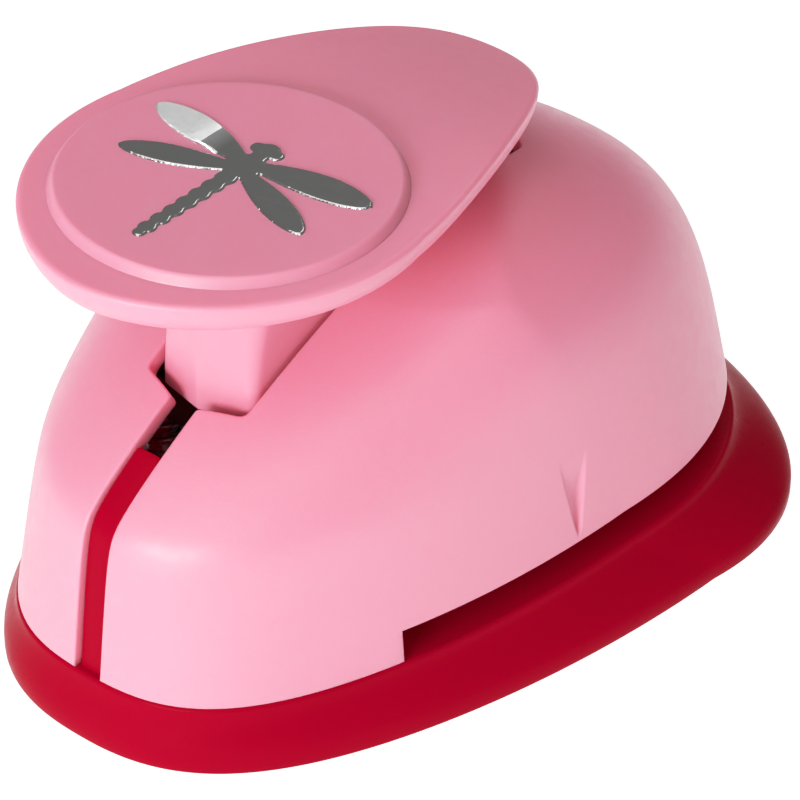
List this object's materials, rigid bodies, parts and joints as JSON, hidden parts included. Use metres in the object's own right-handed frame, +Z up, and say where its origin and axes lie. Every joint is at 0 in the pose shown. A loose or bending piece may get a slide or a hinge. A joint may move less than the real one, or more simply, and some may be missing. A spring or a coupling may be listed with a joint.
{
  "type": "lever paper punch",
  "caption": "Craft punch with an oval pink shell on a flared red base; a round-fronted thumb pad on a hinged lever drives a dragonfly cutter through paper slid in at the back",
  "frame": {"origin": "centre of the base's underside, which is the bottom centre of the bounding box", "axes": "+Z up out of the base; +Y toward the back, where the paper goes in; -Y toward the slotted front under the thumb pad; +X to the right-hand side seen from the slotted front; the X = 0 plane is the mirror plane"},
  "size_m": [0.0672, 0.092, 0.0556],
  "materials": {
    "pink_plastic": "satin, fine moulded grain",
    "red_plastic": "smooth satin gloss",
    "foil": "mirror foil, slightly wrinkled",
    "plate_steel": "cold-rolled, zinc plated",
    "tool_steel": "ground",
    "dark_steel": "blackened",
    "spring_wire": "drawn wire"
  },
  "bodies": {
    "body": {"base": "red_plastic", "housing": "pink_plastic", "chassis": "plate_steel", "pivot_pin": "plate_steel", "pivot_clips": "dark_steel", "die_plate": "plate_steel", "stripper_plate": "plate_steel", "plate_spacers": "plate_steel", "guide_posts": "plate_steel", "post_clips": "dark_steel", "return_spring_left": "spring_wire", "return_spring_right": "spring_wire", "die_screws": "dark_steel", "chassis_screws": "dark_steel", "housing_screws": "dark_steel"},
    "lever": {"lever": "pink_plastic", "pad_disc": "pink_plastic", "dragonfly_emblem": "foil"},
    "ram": {"ram_block": "dark_steel", "punch_cutter": "tool_steel", "cutter_screws": "dark_steel"}
  },
  "joints": [
    {"name": "lever_hinge", "type": "hinge", "parent": "body", "child": "lever", "pos_m": [0, 0.0215, 0.0315], "axis": [1, 0, 0], "range_deg": [0, 9.2], "stiffness_Nm_per_rad": 4, "springref_deg": -17.19},
    {"name": "ram_slide", "type": "slide", "parent": "body", "child": "ram", "axis": [0, 0, -1], "range_m": [0, 0.0036], "deforming": ["return_spring_left", "return_spring_right"]}
  ],
  "couplings": [
    {"joint": "ram_slide", "follows": "lever_hinge", "m_per_rad": 0.0221}
  ]
}
